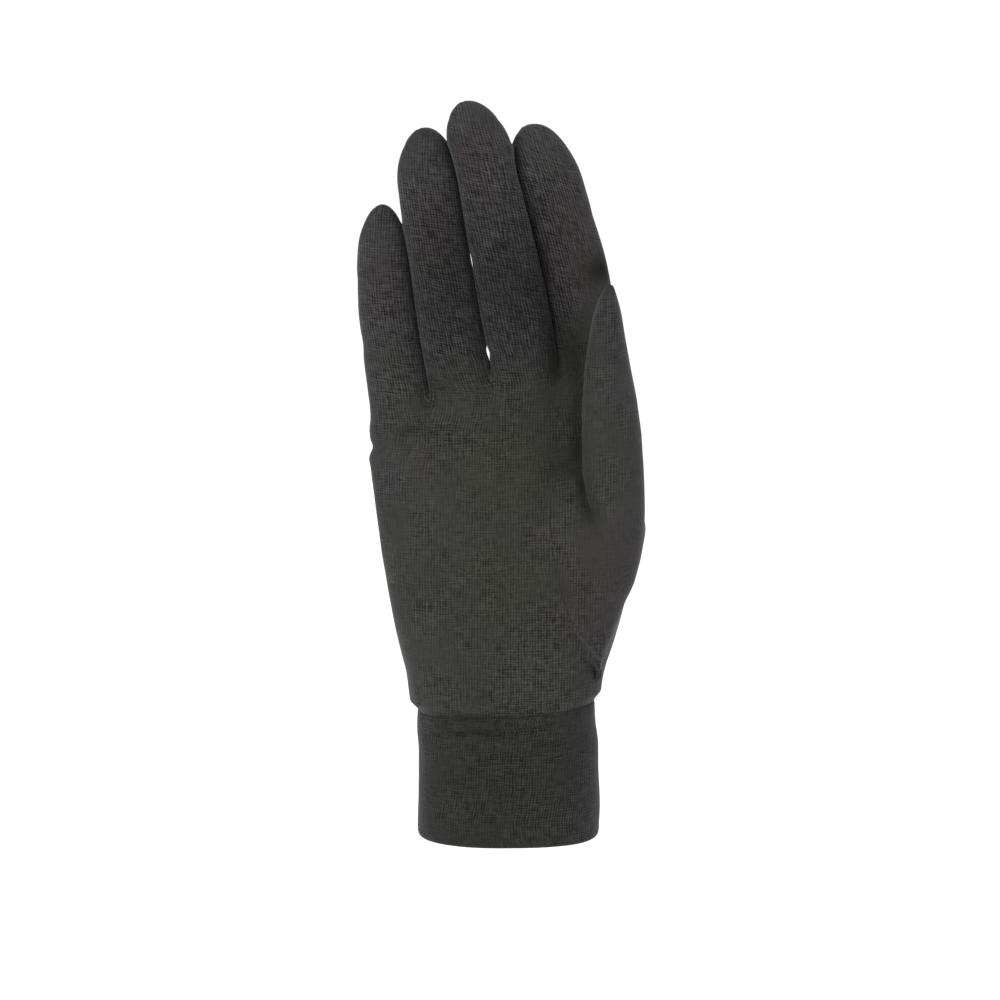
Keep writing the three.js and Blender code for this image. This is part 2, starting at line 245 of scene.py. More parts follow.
def rounded_curve(heights, values, blur):
    """A table's column as a smooth curve of height."""
    step = 0.5
    levels = np.arange(heights[0], heights[-1] + step, step)
    reach = max(1, int(blur / step))
    kernel = np.hanning(2 * reach + 3)[1:-1]
    ends = np.pad(np.interp(levels, heights, values), reach, mode="reflect", reflect_type="odd")
    curve = np.convolve(ends, kernel / kernel.sum(), "valid")
    return lambda z: np.interp(z, levels, curve)


def columns_of(rows, heights, names, blur):
    return {name: rounded_curve(heights, rows[name], blur) for name in names}


PALM_AT = columns_of(PALM, CUFF_HEIGHT + PALM["rise"] * PALM_HEIGHT, ("left", "right", "front", "back"), 5)
THUMB_HEIGHTS = THUMB_TIP - THUMB_LENGTH * (1 - THUMB["rise"])
THUMB_AT = columns_of(THUMB, THUMB_HEIGHTS, ("left", "right", "front", "back"), 1.5)
SWELL_HEIGHTS = GUSSET_FOOT + SWELL["rise"] * GUSSET_HEIGHT
SWELL_AT = columns_of(SWELL, SWELL_HEIGHTS, ("left", "right", "front"), 4)

# The hand's form as a field: below 0 inside, near a distance in millimetres close to the surface


def section_field(x, y, left, right, front, back, middle, squareness, closing=0.0, closing_slope=0.0):
    """The field of a tube from its sections. closing grows from 0 to 1 over a rounded end."""
    half = np.maximum((right - left) / 2, 0.2)
    across = np.abs(x - (left + right) / 2) / half
    reach = np.maximum(np.where(y < middle, middle - front, back - middle), 0.2)
    deep = np.abs(y - middle) / reach
    power_sum = across**squareness + deep**squareness + 1e-9
    rho = power_sum ** (1 / squareness)
    slope = power_sum ** (1 / squareness - 1)
    steep_x = slope * across ** (squareness - 1) / half
    steep_y = slope * deep ** (squareness - 1) / reach
    size = np.sqrt(rho * rho + closing * closing)
    steep = np.sqrt(rho * rho * (steep_x**2 + steep_y**2) + (closing * closing_slope) ** 2) / size
    return (size - 1) / np.maximum(steep, 1e-3)


def middle_y(z):
    return -CURL_DEPTH * np.maximum(0, (z - PALM_TOP) / CURL_HEIGHT) ** 2


def palm_sides(z):
    half = PALM_WIDTH / 2
    return {
        "left": -PALM_AT["left"](z) * half,
        "right": PALM_AT["right"](z) * half,
        "front": -PALM_AT["front"](z) * PALM_DEPTH,
        "back": PALM_AT["back"](z) * PALM_DEPTH,
        "middle": 0.0 * z,
    }


def palm_field(x, y, z):
    top = PALM_TOP + PALM_CROWN
    closing = np.clip((z - top + PALM_ROUNDING) / PALM_ROUNDING, 0, 3)
    return section_field(x, y, **palm_sides(z), squareness=PALM_SQUARENESS, closing=closing,
                         closing_slope=1 / PALM_ROUNDING)


def palm_fall(x):
    return (1 - np.abs(2 * x / PALM_WIDTH) ** PALM_SQUARENESS) ** (1 / PALM_SQUARENESS)


def root_of(i):
    return PALM_TOP + FINGERS["rise"][i]


def tip_of(i):
    return root_of(i) + FINGERS["length"][i]


def shoulder_of(i):
    return tip_of(i) - FINGERS["tipLength"][i]


def axis_x(i, z):
    along = np.maximum(0, (z - root_of(i)) / FINGERS["length"][i])
    bend = 4 * along * (1 - along)
    return lerp(FINGERS["rootX"][i], FINGERS["tipX"][i], along) + FINGERS["bow"][i] * bend


def half_width(i, z):
    taper = np.clip((z - root_of(i)) / (FINGERS["length"][i] - FINGERS["tipLength"][i]), 0, 1)
    return lerp(FINGERS["rootWidth"][i], FINGERS["tipWidth"][i], taper) / 2


def tip_closing(i, z):
    return np.maximum(0, (z - shoulder_of(i)) / FINGERS["tipLength"][i])


def tip_round(i, z):
    return np.sqrt(np.maximum(0, 1 - tip_closing(i, z) ** 2))


# Slits between two neighbouring fingers where light comes through
SLITS = table("pair height reach width", [(1, 180.5, 3.6, 0.6), (1, 152.2, 1.7, 0.95)])


def gap_of(pair, z):
    gap = 0.0 * z + PRESSED
    for row in range(len(SLITS["pair"])):
        if SLITS["pair"][row] == pair:
            gap = gap + SLITS["width"][row] * bump(z, SLITS["height"][row], SLITS["reach"][row])
    return gap


def centre_x(i, z):
    """A finger's middle line, with its very tip moved aside."""
    return axis_x(i, z) + FINGERS["apex"][i] * np.minimum(tip_closing(i, z), 1) ** 2


def edge_x(i, side, z):
    """Where one side of a finger runs, pressed against its neighbour and spread into it below the crotch."""
    own = centre_x(i, z) + side * half_width(i, z) * tip_round(i, z)
    j = i + side
    if j < 0 or j >= COUNT:
        return own - side * ROOT_TUCK * np.maximum(0, PALM_TOP - z)
    pair = min(i, j)
    theirs = centre_x(j, z) - side * half_width(j, z) * tip_round(j, z)
    to_limit = side * ((own + theirs) / 2 - own) - gap_of(pair, z) / 2
    lower_tip = min(tip_of(i), tip_of(j))
    give = LEAN * (1 - smooth(z, lower_tip - 12, lower_tip - 5))
    spread = WEB_REACH * smooth(CROTCHES[pair] - z, 0, WEB_DEPTH)
    return own + side * (np.minimum(to_limit, give) + spread)


def parting(pair, z):
    """How far two neighbours are held apart at a height."""
    return SPREAD * smooth(z, CROTCHES[pair] - 1, CROTCHES[pair] + 13)


def shift_of(i, z):
    """How far a finger is moved while the surface is made: the middle finger stays."""
    still = 2
    if i == still:
        return 0.0 * z
    if i > still:
        return sum(parting(pair, z) for pair in range(still, i))
    return -sum(parting(pair, z) for pair in range(i, still))


def midway(pair, z):
    """The middle of the gap between two parted neighbours."""
    low = edge_x(pair, 1, z) + shift_of(pair, z)
    high = edge_x(pair + 1, -1, z) + shift_of(pair + 1, z)
    return (low + high) / 2


def finger_at(x, z):
    """Which of the parted fingers a point belongs to."""
    found = np.zeros(np.broadcast(x, z).shape, int)
    for pair in range(COUNT - 1):
        found = found + (x > midway(pair, z))
    return found


def rejoined_x(x, z):
    """A parted finger's point, back beside its neighbours."""
    shift = np.choose(finger_at(x, z), [shift_of(i, z) for i in range(COUNT)])
    return x - shift


def overhung_x(x, y, z):
    """Leans the fingers' touching sides, so that the middle finger lies a little over its neighbours."""
    left = (edge_x(1, 1, z) + edge_x(2, -1, z)) / 2
    right = (edge_x(2, 1, z) + edge_x(3, -1, z)) / 2
    side = 1 - 2 * smooth(x, left, right) - 1.1 * bump(x, right + 5, 6)
    return x + OVERHANG * smooth(z, CROTCHES[0], CROTCHES[2] + 14) * side * (y - middle_y(z))


def finger_middle(i, z):
    """The depth of a finger's middle surface."""
    return middle_y(z) + STAGGER[i] * smooth(z, root_of(i) - 8, root_of(i) + 24)


def near_middle(x, z):
    return np.choose(finger_at(x, z), [finger_middle(i, z) for i in range(COUNT)])


def finger_sides(i, z):
    """A finger's section as it would be without its tip's rounding."""
    left = edge_x(i, -1, z)
    right = edge_x(i, 1, z)
    own = smooth(tip_closing(i, z), 0.85, 0.95)
    centre = lerp((left + right) / 2, centre_x(i, z), own)
    width = lerp((right - left) / 2 / np.maximum(tip_round(i, z), 0.3), half_width(i, z), own)
    flare = smooth(root_of(i) - z, 0, ROOT_FLARE)
    rooted = ROOT_DEPTH * PALM_DEPTH * palm_fall(FINGERS["rootX"][i])
    half = lerp(FINGERS["depth"][i] / 2, rooted, flare)
    middle = finger_middle(i, z)
    return {"left": centre - width, "right": centre + width, "front": middle - half, "back": middle + half,
            "middle": middle}


def finger_field(i, x, y, z):
    own = x - shift_of(i, z)
    tube = section_field(own, y, **finger_sides(i, z), squareness=DIGIT_SQUARENESS,
                         closing=tip_closing(i, z), closing_slope=1 / FINGERS["tipLength"][i])
    return np.maximum(tube, FINGER_FOOT - z)


def sunk(z, low, high):
    """Shrinks a tube's foot, so that it rises out of the palm without a ledge."""
    return FOOT_SINK * (1 - smooth(z, low, high))


def thumb_sides(z):
    half = THUMB_WIDTH / 2
    deep = THUMB_DEPTH / 2
    front = THUMB_AT["front"](z)
    back = THUMB_AT["back"](z)
    return {
        "left": THUMB_X - THUMB_AT["left"](z) * half,
        "right": THUMB_X + THUMB_AT["right"](z) * half,
        "front": THUMB_Y - front * deep,
        "back": THUMB_Y + back * deep,
        "middle": THUMB_Y + (back - front) * deep / 2,
    }


def thumb_field(x, y, z):
    tube = section_field(x, y, **thumb_sides(z), squareness=DIGIT_SQUARENESS)
    ends = np.maximum(z - THUMB_TIP, THUMB_FOOT - z)
    return np.maximum(tube, ends) + sunk(z, THUMB_FOOT, THUMB_FOOT + FOOT_FADE)


def swell_field(x, y, z):
    front = SWELL_AT["front"](z) * GUSSET_SWELL
    left = SWELL_AT["left"](z) * GUSSET_WIDTH
    right = SWELL_AT["right"](z) * GUSSET_WIDTH
    tube = section_field(x, y, left, right, -front, front / 3, -front / 2, DIGIT_SQUARENESS)
    ends = np.maximum(SWELL_HEIGHTS[0] - z, z - SWELL_HEIGHTS[-1])
    return np.maximum(tube, ends) + sunk(z, GUSSET_FOOT - 16, GUSSET_FOOT + 12)


# Seams and cutting lines: each is above 0 on one piece's side


def seam_line(columns, samples=12):
    """A smooth line through the gusset seam's points, in x and z."""
    points = np.stack([columns["across"] * GUSSET_WIDTH, GUSSET_FOOT + columns["rise"] * GUSSET_HEIGHT], 1)
    count = len(points)
    knots = np.arange(count)
    fine = np.linspace(0, count - 1, (count - 1) * samples + 1)
    raw = np.stack([np.interp(fine, knots, points[:, k]) for k in range(2)], 1)
    kernel = np.hanning(samples + 3)[1:-1]
    kernel /= kernel.sum()
    reach = len(kernel) // 2
    ends = np.pad(raw, ((reach, reach), (0, 0)), mode="reflect", reflect_type="odd")
    return np.stack([np.convolve(ends[:, k], kernel, "valid")[: len(fine)] for k in range(2)], 1)


SEAM_LINE = seam_line(GUSSET_SEAM)


def gusset_side(x, z):
    """Distance to the gusset's seam, above 0 on the thumb's side, and how far along the seam, 0 to 1."""
    shape = np.broadcast(x, z).shape
    flat_x = np.broadcast_to(x, shape).ravel()
    flat_z = np.broadcast_to(z, shape).ravel()
    best = np.full(flat_x.shape, 1e9)
    sign = np.ones(flat_x.shape)
    along = np.zeros(flat_x.shape)
    for k in range(len(SEAM_LINE) - 1):
        start = SEAM_LINE[k]
        run = SEAM_LINE[k + 1] - start
        share = ((flat_x - start[0]) * run[0] + (flat_z - start[1]) * run[1]) / (run @ run)
        share = np.clip(share, 0, 1)
        off_x = flat_x - start[0] - share * run[0]
        off_z = flat_z - start[1] - share * run[1]
        gap = np.hypot(off_x, off_z)
        nearer = gap < best
        best = np.where(nearer, gap, best)
        sign = np.where(nearer, np.sign(run[0] * off_z - run[1] * off_x + 1e-12), sign)
        along = np.where(nearer, (k + share) / (len(SEAM_LINE) - 1), along)
    return (sign * best).reshape(shape), along.reshape(shape)


def thumb_side(x, y, z):
    """Above 0 on the thumb piece: the gusset's field in front, and the whole tube above it."""
    field, _ = gusset_side(x, z)
    low = np.minimum(field, -y)
    tube = np.minimum(bare_hand(x, y, z) - thumb_field(x, y, z), z - THUMB_PARTING)
    return np.maximum(low, tube)


def strip_side(pair, x, y, z):
    """Above 0 on the strip between two parted fingers."""
    crotch = CROTCHES[pair]
    nearer = x < midway(pair, z)
    to = np.where(nearer, tip_of(pair), tip_of(pair + 1)) - STRIP_STOP
    half = lerp(STRIP_ROOT, STRIP_TIP, np.maximum(0, (z - crotch) / (to - crotch))) / 2
    below = np.clip((crotch - z) / WEB_DEPTH, 0, 1)
    half = half * np.sqrt(1 - below**2)
    low = axis_x(pair, z) + shift_of(pair, z)
    high = axis_x(pair + 1, z) + shift_of(pair + 1, z)
    inner = np.where(nearer, x - low, high - x)
    sides = half - np.abs(y - near_middle(x, z))
    return np.minimum(np.minimum(sides, inner), np.minimum(z - crotch + WEB_DEPTH, to - z))


def front_side(x, y, z):
    return near_middle(x, z) - y


def cuff_seam(x):
    """The height of the seam between hand and cuff."""
    return CUFF_HEIGHT - SEAM_DROP + SEAM_TILT * x


# Relief of the cloth, outward in millimetres, worked out only near the surface

TIP_RIBS = [0.05, 0.06, 0.07, 0.16]  # how deep the gathers round each fingertip are


def cuff_groove(x, above):
    """The groove along the cuff's seam, deepest a little left of its middle."""
    return -0.2 * bump(above, 0, 0.9) * (0.3 + bump(x, -12, 12))


def seam_relief(x, y, z):
    """Grooves along the seams, and the raised edge of the gusset."""
    own = rejoined_x(x, z)
    in_strip = np.max([strip_side(pair, x, y, z) for pair in range(COUNT - 1)], 0)
    out = -0.26 * bump(in_strip, 0, 1.1)
    side = np.where(in_strip > -1.1, 9.0, front_side(x, y, z))
    out = out - 0.22 * bump(side, 0, 1.1) * smooth(z, 48, 60)
    field, along = gusset_side(own, z)
    on_palm = smooth(-y, 5, 11) * smooth(thumb_field(x, y, z), 0.6, 2.0)
    low = smooth(along, 0.54, 0.64) * (1 - smooth(own, 29, 33))
    high = 1 - smooth(along, 0.3, 0.45)
    out = out - on_palm * (0.12 + 0.2 * low + 0.15 * high) * (bump(field, -1.8, 1.0) + bump(field, 1.9, 1.0))
    out = out + on_palm * (0.08 + 0.36 * low) * bump(field, 0.1, 0.9)
    out = out + 0.2 * on_palm * bump(own, 26, 3) * (bump(field, -3.7, 0.9) - bump(field, -5.3, 1.1))
    return out + cuff_groove(own, z - cuff_seam(own))


def fold_relief(x, y, z):
    """The fold at the little finger's root and its notch, the thumb's crook, and the gathers at the cuff."""
    own = rejoined_x(x, z)
    fold_z = 128.6 + 0.13 * (own + 30)
    fold = bump(own, -31, 7.5) * (y < 0)
    out = -0.5 * fold * bump(z, fold_z, 1.0) + 0.3 * fold * bump(z, fold_z - 2.6, 1.4)
    notch = smooth(-own, 30, 40)
    out = out - 0.7 * notch * bump(z, 123.2, 1.6) + 0.35 * notch * bump(z, 119.6, 1.8)
    crook = smooth(z, 100, 105) * (1 - smooth(z, 112, 118)) * smooth(-y, 10, 14)
    out = out - 1.0 * crook * bump(own, 22.6 + 0.25 * (116 - z), 1.9)
    gather = smooth(CUFF_HEIGHT + 7 - z, 0, 6)
    return out + 0.1 * gather * np.sin(own * GATHER_PITCH + 2 * np.sin(own * 0.37)) * np.cos(y * 0.31)


def finger_relief(x, y, z):
    """Soft narrowings at the finger joints, fuller pads between, and gathers at the tips."""
    found = finger_at(x, z)
    out = np.zeros(found.shape)
    for i in range(COUNT):
        share = (z - root_of(i)) / FINGERS["length"][i]
        joints = 0.28 * bump(share, 0.3, 0.05) + 0.22 * bump(share, 0.62, 0.045)
        pads = 0.2 * bump(share, 0.46, 0.08) + 0.22 * bump(share, 0.82, 0.08)
        out = out + (found == i) * (pads - joints)
        tip = tip_of(i)
        turn = np.arctan2(x - axis_x(i, tip) - shift_of(i, tip), tip + 4 - z)
        ribs = TIP_RIBS[i] * smooth(z, tip - 17, tip - 6) * np.sin(turn * 26 + 0.6 * i)
        out = out + (found == i) * ribs * smooth(-turn, -0.2, 0.5)
    return out * smooth(z, PALM_TOP, PALM_TOP + 14)


def relief(x, y, z):
    """All the cloth's relief, fading to nothing where two fingers touch."""
    gaps = [np.abs(x - midway(pair, z)) - parting(pair, z) / 2 for pair in range(COUNT - 1)]
    free = [np.where(z < CROTCHES[pair] - 2, 1.0, smooth(gaps[pair], 0.2, 2.0)) for pair in range(COUNT - 1)]
    slack = np.sin(0.11 * x + 0.07 * z + 1.1) * np.sin(0.09 * z - 0.05 * x + 0.4 * y)
    small = np.sin(0.31 * x - 0.23 * z + 0.6) * np.sin(0.27 * z + 0.19 * x + 0.5 * y + 2.0)
    out = seam_relief(x, y, z) + fold_relief(x, y, z) + finger_relief(x, y, z) + 0.1 * slack + 0.03 * small
    return out * np.min(free, 0)


def bare_hand(x, y, z):
    """The bare form of the filled hand without its thumb, with the fingers parted."""
    fingers = finger_field(0, x, y, z)
    for i in range(1, COUNT):
        web = WEB_BLEND * (1 - smooth(z, CROTCHES[i - 1] - 3, CROTCHES[i - 1] + 5))
        fingers = soft_min(fingers, finger_field(i, x, y, z), web)
    root = ROOT_BLEND * smooth(z, FINGER_FOOT, FINGER_FOOT + FOOT_FADE)
    hand = soft_min(palm_field(x, y, z), fingers, root)
    return soft_min(hand, swell_field(x, y, z), GUSSET_BLEND * smooth(z, GUSSET_FOOT - 13, GUSSET_FOOT))


def band_field(x, y, z):
    """The outline of the band's top."""
    middle = CUFF["shift"][-1] * CUFF_WIDTH
    half = CUFF["wide"][-1] * CUFF_WIDTH / 2
    deep = CUFF["wide"][-1] * CUFF_DEPTH / 2
    zero = 0.0 * z
    return section_field(x, y, middle - half + zero, middle + half + zero, zero - deep, zero + deep, zero,
                         PALM_SQUARENESS)


def hand_field(x, y, z):
    blend = THUMB_BLEND + CROOK_BLEND * (1 - smooth(z, 96, 114))
    hand = soft_min(bare_hand(x, y, z), thumb_field(x, y, z), blend)
    return lerp(band_field(x, y, z), hand, smooth(z - cuff_seam(x), 0, CUFF_MEET))


def cloth_field(x, y, z):
    return hand_field(x, y, z) - relief(x, y, z)


# Surfaces from fields, and cutting them


def surface_net(field, low, step):
    """Points and four-sided faces around the zero level of a field on a grid."""
    inside = field < 0
    cells = tuple(size - 1 for size in field.shape)
    corners = np.zeros(cells, np.int8)
    for offset in np.ndindex(2, 2, 2):
        corners += inside[tuple(slice(o, o + size) for o, size in zip(offset, cells))]
    mixed = (corners > 0) & (corners < 8)
    index = np.full(cells, -1, np.int64)
    index[mixed] = np.arange(mixed.sum())
    place = np.argwhere(mixed)
    total = np.zeros(place.shape)
    hits = np.zeros(len(place))
    for axis in range(3):
        unit = np.eye(3, dtype=int)[axis]
        for offset in np.ndindex(2, 2, 2):
            if offset[axis]:
                continue
            start = place + offset
            a = field[tuple(start.T)]
            b = field[tuple((start + unit).T)]
            cross = (a < 0) != (b < 0)
            share = a[cross] / (a[cross] - b[cross])
            total[cross] += start[cross] + share[:, None] * unit
            hits[cross] += 1
    points = total / hits[:, None] * step + low

    quads = []
    for axis in range(3):
        one, two = (axis + 1) % 3, (axis + 2) % 3
        lower = np.take(inside, range(field.shape[axis] - 1), axis)
        upper = np.take(inside, range(1, field.shape[axis]), axis)
        edges = np.argwhere(lower != upper)
        limit = (edges[:, one] > 0) & (edges[:, two] > 0)
        limit &= (edges[:, one] < cells[one]) & (edges[:, two] < cells[two])
        edges = edges[limit]
        step_one = np.eye(3, dtype=int)[one]
        step_two = np.eye(3, dtype=int)[two]
        ring = [edges, edges - step_one, edges - step_one - step_two, edges - step_two]
        quad = np.stack([index[tuple(cell.T)] for cell in ring], 1)
        outward = lower[tuple(edges.T)]
        quads.append(np.where(outward[:, None], quad, quad[:, ::-1]))
    return points, np.concatenate(quads)


def split_quads(points, quads):
    """Three-sided faces, each quad cut along its shorter diagonal."""
    first = np.linalg.norm(points[quads[:, 0]] - points[quads[:, 2]], axis=1)
    second = np.linalg.norm(points[quads[:, 1]] - points[quads[:, 3]], axis=1)
    a = quads[first <= second]
    b = quads[first > second]
    return np.concatenate([a[:, [0, 1, 2]], a[:, [0, 2, 3]], b[:, [0, 1, 3]], b[:, [1, 2, 3]]])


def settle(points, field, rounds=2):
    """Moves points onto the zero level."""
    nudge = 0.05
    longest = 0.4
    for _ in range(rounds):
        value = field(*points.T)
        slope = np.stack([(field(*(points + nudge * axis).T) - value) / nudge for axis in np.eye(3)], 1)
        size = np.maximum((slope**2).sum(1), 0.2)
        move = -value[:, None] * slope / size[:, None]
        length = np.linalg.norm(move, axis=1, keepdims=True)
        points = points + move * np.minimum(1, longest / np.maximum(length, 1e-9))
    return points


def compact(points, triangles):
    used, renumbered = np.unique(triangles, return_inverse=True)
    return points[used], renumbered.reshape(-1, 3)


def clip(points, triangles, level):
    """The part of a mesh where level is above 0, cut cleanly along its zero line."""
    above = level[triangles] > 0
    count = above.sum(1)
    turned = []
    for lone in (1, 2):
        rows = triangles[count == lone]
        flags = above[count == lone]
        first = (flags if lone == 1 else ~flags).argmax(1)
        order = (first[:, None] + np.arange(3)) % 3
        turned.append(np.take_along_axis(rows, order, 1))
    pairs = np.concatenate([rows[:, [0, k]] for rows in turned for k in (1, 2)])
    ordered = np.sort(pairs, 1)
    edges, which = np.unique(ordered, axis=0, return_inverse=True)
    which = which.ravel() + len(points)
    a, b = level[edges[:, 0]], level[edges[:, 1]]
    share = (a / (a - b))[:, None]
    added = lerp(points[edges[:, 0]], points[edges[:, 1]], share)
    n, m = len(turned[0]), len(turned[1])
    one, two, three, four = np.split(which, [n, 2 * n, 2 * n + m])
    corner, rest = turned
    faces = [
        triangles[count == 3],
        np.stack([corner[:, 0], one, two], 1),
        np.stack([three, rest[:, 1], rest[:, 2]], 1),
        np.stack([three, rest[:, 2], four], 1),
    ]
    return compact(np.concatenate([points, added]), np.concatenate(faces))


def largest_part(points, triangles):
    """Drops crumbs that hang on nothing."""
    label = np.arange(len(points))
    while True:
        least = label[triangles].min(1)
        new = label.copy()
        np.minimum.at(new, triangles, least[:, None])
        new = new[new]
        if (new == label).all():
            break
        label = new
    names, sizes = np.unique(label[triangles[:, 0]], return_counts=True)
    keep = label[triangles[:, 0]] == names[sizes.argmax()]
    return compact(points, triangles[keep])


def normals_of(points, triangles):
    a, b, c = (points[triangles[:, k]] for k in range(3))
    flat = np.cross(b - a, c - a)
    normals = np.zeros(points.shape)
    for k in range(3):
        np.add.at(normals, triangles[:, k], flat)
    return normals / np.maximum(np.linalg.norm(normals, axis=1, keepdims=True), 1e-12)


def thicken(points, triangles, wall):
    """A closed wall under a surface: the surface, its inside and the rim between them."""
    count = len(points)
    inner = points - wall * normals_of(points, triangles)
    edges = np.concatenate([triangles[:, [0, 1]], triangles[:, [1, 2]], triangles[:, [2, 0]]])
    ordered = np.sort(edges, 1)
    _, first, copies = np.unique(ordered, axis=0, return_index=True, return_counts=True)
    rim = edges[first[copies == 1]]
    rim_faces = np.concatenate(
        [
            np.stack([rim[:, 1], rim[:, 0], rim[:, 0] + count], 1),
            np.stack([rim[:, 1], rim[:, 0] + count, rim[:, 1] + count], 1),
        ]
    )
    faces = np.concatenate([triangles, triangles[:, ::-1] + count, rim_faces])
    return np.concatenate([points, inner]), faces


# The stitches' places: which column and row of the knit lies at a point


def ellipse_run(angle, wide, deep):
    """Length along an ellipse from its front to an angle, by Simpson's rule."""
    weights = np.array([1, 4, 2, 4, 2, 4, 2, 4, 1]) / 3
    steps = len(weights) - 1
    total = 0.0
    for k, weight in enumerate(weights):
        at = angle * k / steps
        total = total + weight * np.hypot(wide * np.cos(at), deep * np.sin(at))
    return total * angle / steps


def around(x, y, sides, squareness):
    """The middle of a section, and the distance round it from the middle of its front or back."""
    half = np.maximum((sides["right"] - sides["left"]) / 2, 0.5)
    centre = (sides["right"] + sides["left"]) / 2
    deep = np.maximum(np.where(y < sides["middle"], sides["middle"] - sides["front"],
                               sides["back"] - sides["middle"]), 0.5)
    share = np.minimum(np.abs(x - centre) / half, 1)
    level = lerp((1 - share**squareness) ** (1 / squareness), np.abs(y - sides["middle"]) / deep,
                 smooth(share, 0.75, 0.95))
    angle = np.arctan2(share, level)
    return centre, np.sign(x - centre) * ellipse_run(angle, half, ARC_DEPTH * deep)


def thumb_places(x, y, z):
    """Stitches of the thumb, whose columns run up its gusset and then round its tube."""
    front = -lerp(GUSSET_SWELL, GUSSET_SWELL + 10, smooth(z, 78, 106))
    right = SWELL_AT["right"](z) * GUSSET_WIDTH
    gusset = {"left": -5 + 0 * z, "right": right, "front": front, "back": 12 + 0 * z, "middle": -6 + 0 * z}
    tube = thumb_sides(z)
    share = smooth(z, 92, 112) * smooth(bare_hand(x, y, z) - thumb_field(x, y, z), -1.5, 3)
    sides = {key: lerp(gusset[key], tube[key], share) for key in gusset}
    centre, run = around(x, y, sides, DIGIT_SQUARENESS)
    return np.stack([(centre + run) / WALE, (z - 0.12 * x) / COURSE], 1)


def panel_places(x, y, z):
    """Stitches of the panels and strips, whose columns run up from the cuff into the fingers."""
    palm = palm_sides(np.minimum(z, PALM_TOP - 8))
    centre, run = around(x, y, palm, PALM_SQUARENESS)
    column = centre + run
    row = z.copy()
    found = finger_at(x, z)
    for i in range(COUNT):
        shift = shift_of(i, z)
        middle, off = around(x - shift, y, finger_sides(i, z), DIGIT_SQUARENESS)
        palm_middle, root = around(FINGERS["rootX"][i] + 0 * z, 0 * y, palm | {"middle": y}, PALM_SQUARENESS)
        lean = (axis_x(i, z + 0.5) - axis_x(i, z - 0.5)) * smooth(z, root_of(i) - 4, root_of(i) + 12)
        tip = FINGERS["tipLength"][i]
        closing = np.arcsin(np.minimum(tip_closing(i, z), 1))
        height = np.minimum(z, shoulder_of(i)) + ellipse_run(closing, tip, FINGERS["depth"][i] / 2)
        pair = min(i, COUNT - 2)
        share = smooth(z, CROTCHES[pair] - 22, CROTCHES[pair] + 4) * (found == i)
        column = lerp(column, palm_middle + root + off, share)
        row = lerp(row, height - lean * (x - shift - middle), share)
    return np.stack([column / WALE, row / COURSE], 1)


# The cloth's patches: olive, brown, dark with painted shade and with darker or lighter tone, and clear of nap

OLIVE_SPOTS = table(
    "x z wide high share",
    [
        (-3, 20, 20, 24, 0.9),
        (-2, 78, 24, 34, 0.9),
        (2, 122, 26, 20, 0.75),
        # these two rows tint the painted shadow above the thumb's tip and the painted shade beside the thumb
        (27, 178, 6, 6, 1.0),
        (20, 152, 6, 12, 0.9),
    ],
)
BROWN_SPOTS = table(
    "x z wide high share",
    [
        (17, 188, 7, 17, 0.8),
        (-10, 211, 7, 9, 0.8),
        (-23, 190, 7, 10, 0.8),
        (-37, 172, 6, 14, 0.4),
        (24, 80, 9, 11, 0.8),
        (30, 94, 7, 8, 0.6),
        (-8, 175, 6, 16, 0.3),
    ],
)
SHADE_AND_TONE_SPOTS = table(
    "x z wide high share",
    [
        # painted shade: the thumb's shadow above its tip, the shade around its upper end, between thumb and
        # index finger, in the crook between middle and index fingers, along the thumb's left edge and in the
        # hollow at its crook
        (28, 178, 5, 4.4, 0.85),
        (18.4, 154, 5.5, 10, 0.54),
        (11, 166, 3.5, 14, 0.1),
        (20.6, 146, 2.4, 7, 0.3),
        (20.6, 134, 2.4, 8, 0.4),
        (21, 123, 2.4, 7, 0.45),
        (22.8, 113, 2.6, 5, 0.5),
        (24.8, 106, 2.8, 4.5, 0.6),
        (16, 117.5, 4, 2.5, 0.25),
        (30, 162, 8, 14, 0.12),
        # darker middle, ring and little fingers, and painted shade on the index finger's left flank beside
        # the middle finger
        (0, 174, 11, 24, 0.56),
        (-20, 172, 9, 30, 0.5),
        (-37, 172, 7, 25, 0.04),
        (12, 178, 6, 26, 0.26),
        # darker palm and cuff, lighter at the tips of the middle and index fingers
        (-3, 80, 32, 50, 0.1),
        (4, 128, 24, 14, 0.08),
        (-13, 221, 8, 9, -0.06),
        (8, 216, 8, 9, -0.12),
        (-1, 22, 20, 30, 0.14),
        (26, 20, 8, 26, 0.06),
        # darker along the cuff's seam, and painted shade in the cuff's wrinkle and in the fold at the little
        # finger's root
        (-12, 41.6, 9, 0.9, 0.4),
        (-9, 36.6, 12, 1.0, 0.3),
        (-30, 129, 7, 1.4, 0.4),
    ],
)
CLEAR_SPOTS = table(
    "x z wide high share",
    [
        (-1, 176, 13, 34, 1.0),
        (-22, 176, 10, 32, 0.95),
        (-36, 160, 8, 30, 0.15),
        (12, 186, 9, 26, 0.7),
        (0, 34, 22, 40, 0.45),
        (37, 100, 9, 16, -0.6),
        (9, 216, 9, 9, -0.3),
    ],
)


def spots(rows, x, z):
    """The sum of a table's soft spots at points, -1 to 1."""
    spread = [
        share * np.exp(-(((x - at_x) / wide) ** 2) - ((z - at_z) / high) ** 2)
        for at_x, at_z, wide, high, share in zip(*rows.values())
    ]
    return np.clip(np.sum(spread, 0), -1, 1)


def casts(x, y, z):
    """Olive, brown and dark shares of the cloth at points; the dark share, painted shade and darker or
    lighter tone, only on the front.
    """
    front = smooth(-y, 0, 5)
    return np.stack([spots(OLIVE_SPOTS, x, z), spots(BROWN_SPOTS, x, z), front * spots(SHADE_AND_TONE_SPOTS, x, z)], 1)


# Objects


